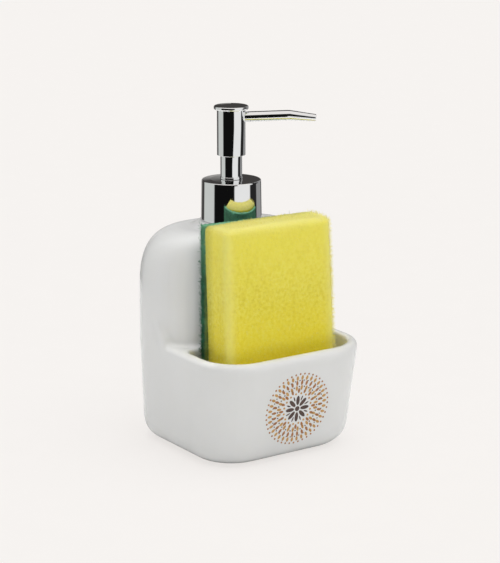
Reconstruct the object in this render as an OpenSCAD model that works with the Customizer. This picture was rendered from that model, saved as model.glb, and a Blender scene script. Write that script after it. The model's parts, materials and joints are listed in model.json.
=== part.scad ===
// Soap pump caddy: a glazed ceramic body with a soap tank at the back and a sponge tray in front,
// a 28 mm lotion pump with a chrome shroud and spout, and a scouring sponge that stands in the tray.
// The origin is the middle of the body's footprint on the surface that it stands on.
// +X is the object's right seen from its front, +Y its back, +Z up. Lengths are in millimetres.

/* [Ceramic body] */
// Width of the body at the tray's rim
body_w = 105; // [96:1:130]
// Depth of the body at the tray's rim
body_d = 105; // [100:1:130]
// Height of the tray's rim
rim_h = 62; // [50:1:74]
// Height of the tank, to the seat of its neck
tank_h = 127.4; // [115:0.1:155]
// Depth of the tank, from its front face to the back
tank_d = 58.5; // [57:0.5:66]
// How far the front leans out from foot to rim
front_draft = 8.5; // [3:0.5:11]
// How far each side leans out from foot to rim
side_draft = 2.4; // [0.5:0.1:4]
// Radius of the tray's upright front corners
front_corner_r = 27; // [18:1:32]
// Radius of the upright back corners
back_corner_r = 27; // [20:1:28]
// Radius of the tank's upright front corners
tank_corner_r = 30; // [16:1:30]
// Rounding between the sides and the foot
foot_round = 12; // [6:1:14]
// Thickness of the ceramic
wall = 6; // [4.5:0.5:6.5]
// Outer rounding of the tray's lip
lip_outer_r = 4; // [2:0.5:4.5]
// Inner rounding of the tray's lip
lip_inner_r = 1.8; // [1:0.1:2]
// Height of the tray's floor
tray_floor_h = 34; // [30:1:40]
// Rounding between the tray's floor and walls
tray_floor_r = 6; // [3:0.5:9]
// Rounding of the tray's upright back corners
tray_back_r = 6; // [3:0.5:9]

/* [Shoulder] */
// Height of the rolled shoulder
shoulder_h = 40; // [28:1:44]
// Crown left at each side of the pump's seat
crown_side = 5.7; // [4:0.1:12]
// Crown left behind the pump's seat
crown_back = 0.7; // [0.5:0.1:3]
// Crown left in front of the pump's seat
crown_front = 1.2; // [0.5:0.1:4]
// Rise of the crown from the shoulder to the neck's seat
crown_h = 2.5; // [0.5:0.5:3]
// How far the side walls sweep up into the tank
sweep_h = 26; // [20:1:30]
// Depth over which they sweep up
sweep_d = 20; // [14:1:20]

/* [Neck] */
// Distance of the pump's axis in front of the body's back
pump_in = 35.5; // [34:0.5:37]
// Gap between the neck's bore and the pump's housing
neck_clear = 1.6; // [1:0.1:2]
// Wall of the neck
neck_wall = 1.6; // [1.2:0.1:2.2]
// Height of the neck over its flange
neck_h = 14.5; // [12:0.5:18]
// How far the neck's flange stands out
neck_flange_w = 2.4; // [1.5:0.1:3]
// Thickness of the neck's flange
neck_flange_t = 1.3; // [1:0.1:2]
// How much slimmer the spigot is that is glued into the ceramic
neck_spigot_in = 0.6; // [0.2:0.1:0.8]
// Thickness of the gasket
gasket_t = 1.2; // [0.8:0.1:1.5]

/* [Closure] */
// Room for the screw thread between the neck and the cap
thread_room = 0.9; // [0.6:0.1:1.2]
// Wall of the screw cap
cap_wall = 1.75; // [1.2:0.05:2.2]
// Thickness of the shroud's metal
shroud_t = 0.6; // [0.4:0.1:0.8]
// How much the shroud widens towards its foot
shroud_flare = 0.4; // [0:0.1:1]
// Rounding of the shroud's top edge
shroud_edge_r = 0.8; // [0.4:0.1:1]
// Height of the chaplet's skirt inside the shroud
chaplet_skirt_h = 3.8; // [2.6:0.1:8]
// Number of ribs that grip the shroud
cap_ribs = 24; // [12:2:36]

/* [Pump head] */
// Travel of the head
stroke = 12.5; // [8:0.5:16]
// Length of the guide sleeve beyond the travel
guide_spare = 1.2; // [0.8:0.1:4]
// Height of the head beyond the travel
head_spare = 13.6; // [12:0.1:18]
// Gap between the guide sleeve and the head
head_gap = 1.25; // [0.8:0.05:2]
// How far the finger disc stands out over the head
disc_lip = 1.8; // [1:0.1:4]
// Thickness of the finger disc
disc_t = 2.5; // [2:0.1:3.5]
// Reach of the spout from the axis to its tip
spout_reach = 48; // [40:0.5:60]
// Distance of the spout's bend from the axis
spout_bend_at = 32; // [24:0.5:36]
// Angle at which the spout rises from the head
spout_rise = 1.7; // [0:0.1:3]
// Angle of the spout's bend
spout_drop = 8; // [4:1:20]
// Radius of the spout up to its bend
spout_root_r = 2.8; // [2.4:0.1:2.8]
// Radius of the spout at its tip
spout_tip_r = 2; // [1.8:0.1:2.2]
// Turn of the spout from +X at rest
spout_turn = -32; // [-180:1:180]

/* [Pump inside] */
// Bore radius of the housing
housing_bore_r = 8.2; // [7.2:0.1:10]
// Wall of the housing
housing_wall = 1.4; // [1:0.1:1.8]
// Outer radius of the stem
stem_r = 4; // [3.6:0.1:4.8]
// Wall of the stem
stem_wall = 1.5; // [1.2:0.1:1.7]
// Height of the piston
piston_h = 8; // [6:0.5:8.5]
// Radius of the return spring's coil
spring_r = 5.6; // [5:0.1:6]
// Radius of the return spring's wire
spring_wire_r = 0.45; // [0.4:0.05:0.5]
// Turns of the return spring
spring_turns = 6.5; // [5:0.5:7]
// Radius of the inlet ball
ball_r = 2.4; // [2.2:0.1:2.5]
// Outer radius of the dip tube
tube_r = 3; // [2.7:0.1:3.1]
// Thickness of the dip tube
tube_t = 0.8; // [0.6:0.1:1]
// Height of the dip tube's foot over the tank's floor
tube_lift = 2.5; // [1:0.5:6]

/* [Sponge] */
// Width of the sponge
sponge_w = 71.5; // [60:0.5:76]
// Height of the sponge as it stands
sponge_h = 98; // [80:0.5:110]
// Thickness of the foam
foam_t = 23.7; // [18:0.1:24]
// Thickness of the scouring pad
pad_t = 5; // [4:0.1:8]
// How much lower than the foam the pad ends
pad_low = 1.6; // [0:0.1:3]
// Lean of the sponge towards the tank
sponge_lean = 1.2; // [0:0.1:1.5]
// Place of the sponge's middle across the tray
sponge_x = -1.4; // [-3:0.1:3]

/* [Hidden] */
$fn = 72;

// Shared clearances and the overrun of every cut
over = 1;
fit = 0.05;
running = 0.08;
play = 0.3;

// Outlines have this many steps in each quarter round
corner_steps = 9;
quarter = 90;

// Neck and closure: radii from the housing outwards
housing_r = housing_bore_r + housing_wall;
stem_bore_r = stem_r - stem_wall;
neck_bore_r = housing_r + neck_clear;
neck_r = neck_bore_r + neck_wall;
neck_flange_r = neck_r + neck_flange_w;
neck_spigot_r = neck_r - neck_spigot_in;
cap_bore_r = neck_r + thread_room;
cap_r = cap_bore_r + cap_wall;
cap_rib_h = 0.9;
cap_rib_w = 1.2;
shroud_top_r = cap_r + cap_rib_h + fit + shroud_t;
shroud_r = shroud_top_r + shroud_flare;

// Ceramic body: places that follow from the driving sizes
tank_front_y = body_d / 2 - tank_d;
pump_y = body_d / 2 - pump_in;
rim_hw = body_w / 2;
shoulder_z = tank_h - crown_h - shoulder_h;
lip_z = rim_h - lip_outer_r;
shoulder_power = 3;
shoulder_steps = 10;
foot_steps = 6;
lip_steps = 4;
crown_steps = 3;
crown_edge = 0.4;
seat_r = shroud_r + crown_edge;
shoulder_side = rim_hw - seat_r - crown_side;
shoulder_back = pump_in - seat_r - crown_back;
shoulder_front = tank_d - pump_in - seat_r - crown_front;
top_depth = tank_d - shoulder_front - shoulder_back;
tank_front_r = min(tank_corner_r, tank_d - back_corner_r);
sweep_steps = 9;
sweep_power_share = 0.75;
sweep_start_y = tank_front_y + 2 * wall;
sweep_edge_r = 4;
sweep_inset = 0.1;
sweep_sink = 0.5;
tray_wall_steps = 5;
chamber_r = 7;
chamber_roof_z = tray_floor_h - wall;
foot_ring_w = 5;
foot_recess = 1;
foot_steps_z = [for (i = [0 : foot_steps]) foot_round * (1 - cos(i * quarter / foot_steps))];
lip_steps_z = [for (i = [0 : lip_steps]) lip_z + lip_outer_r * sin(i * quarter / lip_steps)];

// Neck: heights from the ceramic upwards
neck_hole_r = neck_spigot_r + fit * 2;
neck_seat_z = tank_h - neck_flange_t;
neck_seat_r = neck_flange_r + play;
neck_flange_z = neck_seat_z + neck_flange_t;
neck_top_z = neck_flange_z + neck_h;
neck_spigot_h = 8;
gasket_top_z = neck_top_z + gasket_t;
gasket_in_r = neck_bore_r + play;
housing_flange_t = 1.4;
housing_flange_r = neck_r;
housing_flange_z = gasket_top_z + housing_flange_t;

// Closure: heights
shroud_z = tank_h + play;
cap_foot_z = shroud_z + play;
cap_ceiling_z = housing_flange_z + fit * 2;
cap_ceiling_t = 1.6;
cap_ceiling_top_z = cap_ceiling_z + cap_ceiling_t;
cap_hole_r = housing_r + play * 2;
cap_rim_w = 1.6;
chaplet_skirt_z = cap_ceiling_top_z + fit * 2;
chaplet_top_z = chaplet_skirt_z + chaplet_skirt_h;
shroud_roof_z = chaplet_top_z + play;
shroud_top_z = shroud_roof_z + shroud_t;

// Chaplet and guide sleeve
chaplet_t = 1.5;
chaplet_skirt_t = 1.7;
chaplet_skirt_in_r = housing_r + fit;
chaplet_skirt_r = chaplet_skirt_in_r + chaplet_skirt_t;
housing_top_z = chaplet_top_z - chaplet_t;
chaplet_bore_r = stem_r + running;
chaplet_plug_h = 8;
chaplet_plug_z = housing_top_z - chaplet_plug_h;
chaplet_plug_r = housing_bore_r - fit;
guide_t = 0.7;
chaplet_tube_t = 1.37;
chaplet_tube_r = chaplet_bore_r + chaplet_tube_t;
guide_r = chaplet_tube_r + fit + guide_t;
guide_gap = 0.1;
guide_z = shroud_top_z + guide_gap;
guide_top_z = shroud_top_z + stroke + guide_spare;
guide_ring_w = 0.3;
guide_ring_r = guide_r + guide_ring_w;
guide_ring_h = 1.2;
guide_lip_t = 0.5;
chaplet_tube_top_z = guide_top_z - guide_lip_t - fit;
shroud_hole_r = chaplet_tube_r + play;

// Head: heights and radii
head_t = 0.65;
head_z = guide_top_z;
head_top_z = head_z + stroke + head_spare;
head_in_r = guide_r + head_gap;
head_r = head_in_r + head_t;
disc_r = head_r + disc_lip;
disc_seat_h = 0.7;
disc_seat_t = 1;
disc_seat_z = head_top_z - disc_seat_h;
disc_dome_h = 0.5;
disc_flat_share = 0.5;
disc_flat_drop_share = 0.25;
spout_in = 4.3;
spout_z = head_top_z - spout_in;
core_r = head_in_r - fit;
core_top_z = disc_seat_z - fit;
core_foot_z = guide_top_z + stroke + over;
core_socket_h = 5;
stem_top_z = core_foot_z + core_socket_h;
core_channel_r = 2;
spout_hole_r = spout_root_r + fit;
spout_start = stem_bore_r + over;
spout_wall = 0.45;
spout_bend_r = 14;
liner_gap = 0.05;
liner_t = 0.45;
liner_back = 0.6;
spout_bend_steps = 5;
spout_sides = 24;

// Stem, rod and piston: heights from the chaplet downwards
stem_shoulder_r = 5.4;
stem_shoulder_h = 2.5;
stem_shoulder_top_z = chaplet_plug_z - guide_gap;
stem_foot_z = stem_shoulder_top_z - stem_shoulder_h;
rod_spigot_h = 8;
rod_spigot_r = stem_bore_r - fit;
rod_groove_r = 0.8;
rod_r = 2.2;
rod_collar_r = 3.4;
rod_collar_h = 0.8;
rod_collar_z = stem_foot_z - rod_collar_h - fit;
piston_gap = 1.6;
piston_top_z = rod_collar_z - piston_gap;
piston_z = piston_top_z - piston_h;
piston_r = housing_bore_r - fit;
piston_waist = 0.9;
piston_waist_r = housing_bore_r - piston_waist;
piston_lip_h = 1.8;
piston_bore_r = rod_r + running;
valve_r = 4.8;
valve_h = 1.6;
valve_z = piston_z - fit - valve_h;
rod_foot_r = spring_r - spring_wire_r - play * 2;
rod_foot_h = 3;
rod_foot_z = valve_z - rod_foot_h;

// Return spring and housing floor
spring_top_z = valve_z - play;
spring_spare = 2;
spring_h = stroke + (spring_turns + 2) * 2 * spring_wire_r + spring_spare;
spring_foot_z = spring_top_z - spring_h;
housing_floor_z = spring_foot_z - play;
spring_sides = 6;
spring_rings = 8;
ball_room = 1;
ball_cage_r = ball_r + ball_room;
ball_lip = 0.2;
ball_lip_r = ball_r - ball_lip;
ball_lip_h = 0.8;
ball_travel = 1.5;
ball_seat_r = 1.4;
ball_seat_h = ball_cage_r - ball_seat_r;
ball_gap = 0.05;
ball_up = sqrt(2) * (ball_r + ball_gap) - ball_seat_r;
ball_lip_z = housing_floor_z - ball_lip_h - over;
ball_z = ball_lip_z - play - ball_travel - ball_r;
ball_seat_z = ball_z - ball_up;
tail_socket_h = 8;
tail_wall = 1.4;
tail_web = 2;
tail_top_z = ball_seat_z - tail_web;
tail_z = tail_top_z - tail_socket_h;
tail_bore_r = tube_r + fit;
tail_r = tail_bore_r + tail_wall;
cage_r = max(ball_cage_r, tail_bore_r) + tail_wall;
housing_cone_h = 5;
vent_r = 0.6;
vent_drop = 6;
tube_foot_z = wall + tube_lift;
tube_cut_angle = 35;

// Sponge: edge roundings and place in the tray
foam_edge_r = 4;
foam_back_edge_r = 0.8;
foam_top_r = 3.5;
foam_top_steps = 5;
foam_swell = 0.8;
foam_belly_steps = 8;
sponge_clear = 1.4;
sponge_back_y = tank_front_y - sponge_clear;
pad_edge_r = 2.5;

// A rounded rectangle at height z with its own front and back corner radii, as points
function outline(hw, y_front, y_back, r_front, r_back, z) = [
    for (c = [
        [hw - r_front, y_front + r_front, r_front, -quarter],
        [hw - r_back, y_back - r_back, r_back, 0],
        [r_back - hw, y_back - r_back, r_back, quarter],
        [r_front - hw, y_front + r_front, r_front, 2 * quarter]
    ])
        for (i = [0 : corner_steps])
            let (t = c[3] + i * quarter / corner_steps)
            [c[0] + c[2] * cos(t), c[1] + c[2] * sin(t), z]
];

// The solid between two outlines, and a stack of such solids through a list of outlines
module slab(low, high) {
    points = concat(low, high);
    hull() polyhedron(points = points, faces = [for (i = [1 : len(points) - 2]) [0, i, i + 1]]);
}
module stack(outlines) {
    for (i = [0 : len(outlines) - 2]) slab(outlines[i], outlines[i + 1]);
}

// How far a rounding of radius r has drawn in at a distance d before its end
function round_in(r, d) = d >= r ? 0 : r - sqrt(max(r * r - pow(r - d, 2), 0));

// The sponge's back foot stands where the tray's floor curves up into the tank
sponge_foot_in = sponge_clear + sponge_h * sin(sponge_lean);
sponge_z = tray_floor_h + round_in(tray_floor_r, sponge_foot_in) + play;

// Half width and front of the drafted body at height z
function side_hw(z) = rim_hw - side_draft * max(1 - z / lip_z, 0);
function front_y(z) = -body_d / 2 + front_draft * max(1 - z / lip_z, 0);

// The body's whole outline at height z, drawn in by the distance g
function body_outline(z, g) = outline(
    side_hw(z) - g, front_y(z) + g, body_d / 2 - g,
    max(front_corner_r - g, over), max(back_corner_r - g, over), z
);

// The tank's outline with its shoulder drawn in by the share k, a wall g inside, at height z
function tank_outline(k, g, z) = outline(
    side_hw(z) - shoulder_side * k - g,
    tank_front_y + shoulder_front * k + g,
    body_d / 2 - shoulder_back * k - g,
    tank_front_r + (top_depth / 2 - tank_front_r) * k - g,
    back_corner_r + (top_depth / 2 - back_corner_r) * k - g,
    z
);

// The shoulder is a superellipse: its height and its draw, as shares, at the angle t
function shoulder_rise(t) = pow(sin(t), 2 / shoulder_power);
function shoulder_draw(t) = 1 - pow(cos(t), 2 / shoulder_power);

// The crown rises from the shoulder's top to the round seat of the neck, by the share u
function crown_outline(u) =
    let (
        low = tank_outline(1, 0, tank_h - crown_h * (1 - sin(u * quarter))),
        seat = outline(seat_r, pump_y - seat_r, pump_y + seat_r, seat_r, seat_r, tank_h)
    )
    [for (i = [0 : len(low) - 1]) [for (a = [0, 1]) low[i][a] + (seat[i][a] - low[i][a]) * u, low[i][2]]];

module tray_block() {
    stack(concat(
        [for (z = foot_steps_z) body_outline(z, round_in(foot_round, z))],
        [for (z = lip_steps_z) body_outline(z, round_in(lip_outer_r, rim_h - z))]
    ));
}

module tank_block() {
    stack(concat(
        [tank_outline(0, 0, lip_z), tank_outline(0, 0, rim_h)],
        [
            for (i = [0 : shoulder_steps])
                let (t = i * quarter / shoulder_steps)
                tank_outline(shoulder_draw(t), 0, shoulder_z + shoulder_h * shoulder_rise(t))
        ],
        [for (i = [1 : crown_steps]) crown_outline(i / crown_steps)]
    ));
}

// The side walls' upper edge climbs from the rim into the tank along a power curve
module swept_sides() {
    stack([
        for (i = [-1 : sweep_steps])
            let (
                u = max(i, 0) / sweep_steps,
                z = i < 0 ? lip_z : rim_h + sweep_h * pow(u, sweep_power_share)
            )
            outline(
                side_hw(z) - sweep_inset - sweep_sink * u, sweep_start_y + sweep_d * u,
                body_d / 2 - sweep_inset - sweep_sink, sweep_edge_r, back_corner_r, z
            )
    ]);
}

module tray_pocket() {
    steps = [for (i = [0 : tray_wall_steps]) i * quarter / tray_wall_steps];
    stack(concat(
        [
            for (t = steps)
                let (z = tray_floor_h + tray_floor_r * (1 - cos(t)), g = tray_floor_r * (1 - sin(t)))
                outline(
                    side_hw(z) - wall - g, front_y(z) + wall + g, tank_front_y - g,
                    front_corner_r - wall - g, max(tray_back_r - g, fit), z
                )
        ],
        [
            for (t = steps)
                let (z = rim_h - lip_inner_r * (1 - sin(t)), g = lip_inner_r * (1 - cos(t)))
                outline(
                    side_hw(z) - wall + g, front_y(z) + wall - g, tank_front_y,
                    front_corner_r - wall + g, tray_back_r, z
                )
        ],
        [
            outline(
                rim_hw - wall + lip_inner_r, front_y(rim_h) + wall - lip_inner_r, tank_front_y,
                front_corner_r - wall + lip_inner_r, tray_back_r, rim_h + over
            )
        ]
    ));
}

// The soap space: a low chamber that runs under the tray and the tank above it
module soap_space() {
    steps = [for (i = [0 : tray_wall_steps]) i * quarter / tray_wall_steps];
    stack(concat(
        [
            for (t = steps)
                let (z = wall + chamber_r * (1 - cos(t)))
                body_outline(z, wall + chamber_r * (1 - sin(t)))
        ],
        [
            for (t = steps)
                let (z = chamber_roof_z - chamber_r * (1 - sin(t)))
                body_outline(z, wall + chamber_r * (1 - cos(t)))
        ]
    ));
    stack(concat(
        [tank_outline(0, wall, wall + chamber_r), tank_outline(0, wall, rim_h)],
        [
            for (i = [0 : shoulder_steps])
                let (t = i * quarter / shoulder_steps)
                tank_outline(
                    shoulder_draw(t), wall * cos(t),
                    shoulder_z + shoulder_h * shoulder_rise(t) - wall * sin(t)
                )
        ]
    ));
}

// The unglazed foot is a ring: the base is hollowed a little inside it
module foot_hollow() {
    inset = foot_round + foot_ring_w;
    slab(body_outline(0, inset), body_outline(foot_recess, inset + foot_recess));
    translate([0, 0, -over]) linear_extrude(over)
        polygon([for (p = body_outline(0, inset)) [p[0], p[1]]]);
}

module ceramic_body() {
    color("white") difference() {
        union() {
            tray_block();
            tank_block();
            swept_sides();
        }
        tray_pocket();
        soap_space();
        foot_hollow();
        translate([0, pump_y, shoulder_z]) cylinder(r = neck_hole_r, h = shoulder_h + crown_h + over);
        translate([0, pump_y, neck_seat_z]) cylinder(r = neck_seat_r, h = neck_flange_t + over);
    }
}

// A body of revolution about the pump's axis, from points of radius and height
module turned(profile) {
    translate([0, pump_y, 0]) rotate_extrude() polygon(profile);
}

module neck_insert() {
    color("ivory") turned([
        [neck_bore_r, neck_seat_z - neck_spigot_h],
        [neck_spigot_r, neck_seat_z - neck_spigot_h],
        [neck_spigot_r, neck_seat_z],
        [neck_flange_r, neck_seat_z],
        [neck_flange_r, neck_flange_z],
        [neck_r, neck_flange_z],
        [neck_r, neck_top_z],
        [neck_bore_r, neck_top_z]
    ]);
}

module neck_gasket() {
    color("lightgray") turned([
        [gasket_in_r, neck_top_z],
        [neck_r, neck_top_z],
        [neck_r, gasket_top_z],
        [gasket_in_r, gasket_top_z]
    ]);
}

module screw_cap() {
    color("whitesmoke") {
        turned([
            [cap_bore_r, cap_foot_z],
            [cap_r, cap_foot_z],
            [cap_r, shroud_roof_z],
            [cap_r - cap_rim_w, shroud_roof_z],
            [cap_r - cap_rim_w, cap_ceiling_top_z],
            [cap_hole_r, cap_ceiling_top_z],
            [cap_hole_r, cap_ceiling_z],
            [cap_bore_r, cap_ceiling_z]
        ]);
        for (i = [0 : cap_ribs - 1])
            translate([0, pump_y, 0]) rotate([0, 0, i * 360 / cap_ribs])
                translate([cap_r - cap_rib_h, -cap_rib_w / 2, cap_foot_z])
                    cube([2 * cap_rib_h, cap_rib_w, cap_ceiling_top_z - cap_foot_z]);
    }
}

// Points on a quarter round of radius r about the point [x, z], from the angle a, for an outer edge
function arc(x, z, r, a, steps) = [
    for (i = [0 : steps]) let (t = a + i * quarter / steps) [x + r * cos(t), z + r * sin(t)]
];
edge_steps = 6;

module collar_shroud() {
    in_edge_r = max(shroud_edge_r - shroud_t, fit);
    color("silver") turned(concat(
        [[shroud_r - shroud_t, shroud_z], [shroud_r, shroud_z]],
        arc(shroud_top_r - shroud_edge_r, shroud_top_z - shroud_edge_r, shroud_edge_r, 0, edge_steps),
        [
            [shroud_hole_r, shroud_top_z],
            [shroud_hole_r, shroud_roof_z],
            [shroud_top_r - shroud_t - in_edge_r, shroud_roof_z],
            [shroud_top_r - shroud_t, shroud_roof_z - in_edge_r]
        ]
    ));
}

module chaplet() {
    color("whitesmoke") turned([
        [chaplet_bore_r, chaplet_plug_z],
        [chaplet_plug_r - chaplet_skirt_t, chaplet_plug_z],
        [chaplet_plug_r, chaplet_plug_z + chaplet_skirt_t],
        [chaplet_plug_r, housing_top_z],
        [chaplet_skirt_in_r, housing_top_z],
        [chaplet_skirt_in_r, chaplet_skirt_z],
        [chaplet_skirt_r, chaplet_skirt_z],
        [chaplet_skirt_r, chaplet_top_z],
        [chaplet_tube_r, chaplet_top_z],
        [chaplet_tube_r, chaplet_tube_top_z],
        [chaplet_bore_r, chaplet_tube_top_z]
    ]);
}

module guide_sleeve() {
    color("silver") turned(concat(
        [
            [chaplet_tube_r + fit, guide_z],
            [guide_ring_r - guide_lip_t, guide_z]
        ],
        arc(guide_ring_r - guide_lip_t, guide_z + guide_lip_t, guide_lip_t, -quarter, edge_steps),
        arc(guide_ring_r - guide_lip_t, guide_z + guide_ring_h - guide_lip_t, guide_lip_t, 0, edge_steps),
        [[guide_r, guide_z + guide_ring_h]],
        arc(guide_r - guide_lip_t, guide_top_z - guide_lip_t, guide_lip_t, 0, edge_steps),
        [
            [chaplet_bore_r + play, guide_top_z],
            [chaplet_bore_r + play, guide_top_z - guide_lip_t],
            [chaplet_tube_r + fit, guide_top_z - guide_lip_t]
        ]
    ));
}

module pump_housing() {
    color("whitesmoke", 0.6) difference() {
        turned([
            [tail_bore_r, tail_z],
            [tail_r, tail_z],
            [tail_r, tail_top_z],
            [cage_r, tail_top_z + cage_r - tail_r],
            [cage_r, housing_floor_z - housing_cone_h],
            [housing_r, housing_floor_z],
            [housing_r, gasket_top_z],
            [housing_flange_r, gasket_top_z],
            [housing_flange_r, housing_flange_z],
            [housing_r, housing_flange_z],
            [housing_r, housing_top_z],
            [housing_bore_r, housing_top_z],
            [housing_bore_r, housing_floor_z],
            [ball_lip_r, housing_floor_z],
            [ball_lip_r, ball_lip_z],
            [ball_cage_r, ball_lip_z],
            [ball_cage_r, ball_seat_z + ball_seat_h],
            [ball_seat_r, ball_seat_z],
            [ball_seat_r, tail_top_z],
            [tail_bore_r, tail_top_z]
        ]);
        translate([0, pump_y, chaplet_plug_z - vent_drop]) rotate([0, quarter, 0])
            cylinder(r = vent_r, h = housing_r + over);
    }
}

module piston() {
    color("lightyellow") turned([
        [piston_bore_r, piston_z],
        [piston_waist_r - piston_lip_h, piston_z],
        [piston_r - fit, piston_z],
        [piston_r, piston_z + piston_lip_h / 2],
        [piston_waist_r, piston_z + piston_lip_h],
        [piston_waist_r, piston_top_z - piston_lip_h],
        [piston_r, piston_top_z - piston_lip_h / 2],
        [piston_r - fit, piston_top_z],
        [piston_bore_r, piston_top_z]
    ]);
}

module piston_rod() {
    color("aliceblue") difference() {
        turned([
            [0, rod_foot_z],
            [rod_foot_r - rod_collar_h, rod_foot_z],
            [rod_foot_r, rod_foot_z + rod_collar_h],
            [rod_foot_r, valve_z],
            [spring_r + 2 * spring_wire_r, valve_z],
            [spring_r + 2 * spring_wire_r, valve_z + valve_h / 2],
            [valve_r, valve_z + valve_h],
            [rod_r, valve_z + valve_h],
            [rod_r, rod_collar_z],
            [rod_collar_r, rod_collar_z],
            [rod_collar_r, rod_collar_z + rod_collar_h],
            [rod_spigot_r, rod_collar_z + rod_collar_h],
            [rod_spigot_r, stem_foot_z + rod_spigot_h],
            [0, stem_foot_z + rod_spigot_h]
        ]);
        for (i = [0 : 2])
            translate([0, pump_y, 0]) rotate([0, 0, i * 360 / 3])
                translate([rod_spigot_r, 0, rod_collar_z - over])
                    cylinder(r = rod_groove_r, h = rod_spigot_h + 3 * over);
    }
}

module stem() {
    color("whitesmoke") turned([
        [stem_bore_r, stem_foot_z],
        [stem_shoulder_r, stem_foot_z],
        [stem_shoulder_r, stem_shoulder_top_z],
        [stem_r, stem_shoulder_top_z],
        [stem_r, stem_top_z],
        [stem_bore_r, stem_top_z]
    ]);
}

// The spring is one wire along a helix whose end turns lie flat
spring_all = ceil((spring_turns + 2) * spring_rings);
function spring_share(i) =
    let (turn = i / spring_rings, u = (turn - 1) / (spring_all / spring_rings - 2))
    min(max(u, 0), 1);
function spring_z(i) =
    let (
        flat = 2 * spring_wire_r,
        rise = spring_h - 2 * spring_wire_r - 2 * flat,
        ends = min(i / spring_rings, 1) + max(i / spring_rings - spring_all / spring_rings + 1, 0)
    )
    spring_foot_z + spring_wire_r + flat * (1 + spring_end_gap_share) * ends
        + (rise - 2 * flat * spring_end_gap_share) * spring_share(i);
spring_end_gap_share = 0.5;
function spring_point(i) =
    [spring_r * cos(i * 360 / spring_rings), spring_r * sin(i * 360 / spring_rings), spring_z(i)];
function spring_ring(i) = [
    for (j = [0 : spring_sides - 1])
        let (
            t = i * 360 / spring_rings, w = j * 360 / spring_sides,
            out = spring_wire_r * cos(w), up = spring_wire_r * sin(w)
        )
        [(spring_r + out) * cos(t), pump_y + (spring_r + out) * sin(t), spring_z(i) + up]
];
spring_gap = min([
    for (i = [0 : spring_all - spring_rings])
        norm(spring_point(i + spring_rings) - spring_point(i)) - 2 * spring_wire_r
]);
echo(spring_gap = spring_gap);

module return_spring() {
    color("silver") polyhedron(
        points = [for (i = [0 : spring_all]) each spring_ring(i)],
        faces = concat(
            [[for (j = [0 : spring_sides - 1]) j]],
            [
                for (i = [0 : spring_all - 1], j = [0 : spring_sides - 1])
                    let (a = i * spring_sides, b = a + spring_sides, k = (j + 1) % spring_sides)
                    each [[a + j, b + j, b + k], [a + j, b + k, a + k]]
            ],
            [[for (j = [spring_sides - 1 : -1 : 0]) spring_all * spring_sides + j]]
        )
    );
}

module inlet_ball() {
    color("gray") translate([0, pump_y, ball_z]) sphere(r = ball_r);
}

module dip_tube() {
    cut = 2 * tube_r;
    color("whitesmoke", 0.6) difference() {
        translate([0, pump_y, tube_foot_z]) cylinder(r = tube_r, h = tail_top_z - tube_foot_z);
        translate([0, pump_y, tube_foot_z - over])
            cylinder(r = tube_r - tube_t, h = tail_top_z - tube_foot_z + 2 * over);
        translate([-tube_r, pump_y, tube_foot_z]) rotate([0, tube_cut_angle, 0])
            translate([-cut, -cut, -2 * cut]) cube([3 * cut, 2 * cut, 2 * cut]);
    }
}

// Stations along the spout, from the distance a of its axis to the distance b: each holds the
// distance, the height, the angle downwards and the outer radius less the gap g
function spout_radius(x, g) =
    let (along = max(x - spout_bend_at, 0) / (spout_reach - spout_bend_at))
    spout_root_r + (spout_tip_r - spout_root_r) * along - g;
function spout_stations(a, b, g) = concat(
    [[a, 0, 0, spout_radius(a, g)]],
    [
        for (i = [0 : spout_bend_steps])
            let (t = spout_drop * i / spout_bend_steps, x = spout_bend_at + spout_bend_r * sin(t))
            [x, -spout_bend_r * (1 - cos(t)), t, spout_radius(x, g)]
    ],
    [
        let (x = spout_bend_at + spout_bend_r * sin(spout_drop), z = spout_bend_r * (1 - cos(spout_drop)))
        [b, -z - (b - x) * tan(spout_drop), spout_drop, spout_radius(b, g)]
    ]
);

// One ring of points about a station, drawn in by the wall w
function station_ring(s, w) = [
    for (j = [0 : spout_sides - 1])
        let (t = j * 360 / spout_sides, up = (s[3] - w) * cos(t), side = (s[3] - w) * sin(t))
        [s[0] + up * sin(s[2]), side, s[1] + up * cos(s[2])]
];

// The spout's own direction: +X runs out of the head along it
module along_spout() {
    translate([0, pump_y, spout_z]) rotate([0, 0, spout_turn]) rotate([0, -spout_rise, 0]) children();
}

// A tube of wall w along the stations, as one closed shell
module spout_run(stations, w) {
    last = len(stations) - 1;
    inner = len(stations) * spout_sides;
    along_spout() polyhedron(
        points = [
            for (s = stations) each station_ring(s, 0),
            for (s = stations) each station_ring(s, w)
        ],
        faces = [
            for (j = [0 : spout_sides - 1])
                let (k = (j + 1) % spout_sides, e = last * spout_sides)
                each [
                    [j, k, inner + k], [j, inner + k, inner + j],
                    [e + j, inner + e + k, e + k], [e + j, inner + e + j, inner + e + k]
                ],
            for (i = [0 : last - 1], j = [0 : spout_sides - 1])
                let (a = i * spout_sides, b = a + spout_sides, k = (j + 1) % spout_sides)
                each [
                    [a + j, b + j, b + k], [a + j, b + k, a + k],
                    [inner + a + j, inner + b + k, inner + b + j],
                    [inner + a + j, inner + a + k, inner + b + k]
                ]
        ]
    );
}

module head_core() {
    color("whitesmoke") difference() {
        turned([
            [stem_r + fit, core_foot_z],
            [core_r, core_foot_z],
            [core_r, core_top_z],
            [0, core_top_z],
            [0, spout_z + core_channel_r],
            [core_channel_r, spout_z + core_channel_r],
            [core_channel_r, stem_top_z],
            [stem_r + fit, stem_top_z]
        ]);
        along_spout() {
            translate([spout_start - fit, 0, 0]) rotate([0, quarter, 0])
                cylinder(r = spout_hole_r, h = head_r);
            rotate([0, quarter, 0]) cylinder(r = core_channel_r - play, h = head_r);
        }
    }
}

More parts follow.
